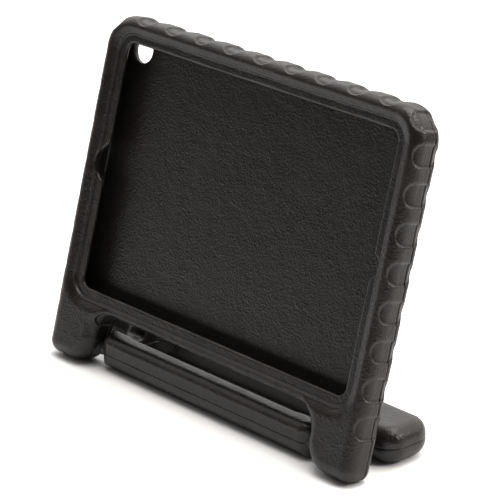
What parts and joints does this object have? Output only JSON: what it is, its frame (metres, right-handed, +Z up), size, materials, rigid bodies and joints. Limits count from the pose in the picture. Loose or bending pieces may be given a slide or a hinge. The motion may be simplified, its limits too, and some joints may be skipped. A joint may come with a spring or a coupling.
{
  "type": "tablet case",
  "caption": "Padded foam tablet case with an open front, two legs and a hinged handle that folds round to stand it up.",
  "frame": {"origin": "on the floor under the middle of the bounding box, standing on its legs and handle", "axes": "+X to the right seen from the front, +Y to the back, +Z up; the open front faces -Y and leans back 15.17 degrees"},
  "size_m": [0.213, 0.0588, 0.1687],
  "materials": {
    "foam": "satin",
    "handle_foam": "satin",
    "core_plastic": "matte",
    "bush_plastic": "satin",
    "washer_rubber": "matte",
    "pin_steel": "brushed"
  },
  "bodies": {
    "case": {"front_shell": "foam", "rear_shell": "foam", "left_leg_bush": "bush_plastic", "right_leg_bush": "bush_plastic"},
    "handle": {"handle_upper_foam": "handle_foam", "handle_lower_foam": "handle_foam", "handle_core": "core_plastic", "left_pivot_pin": "pin_steel", "right_pivot_pin": "pin_steel", "left_friction_washer": "washer_rubber", "right_friction_washer": "washer_rubber"}
  },
  "joints": [
    {"name": "handle_hinge", "type": "hinge", "parent": "case", "child": "handle", "pos_m": [0, -0.01842, 0.009], "axis": [1, 0, 0], "range_deg": [-105, 20]}
  ]
}
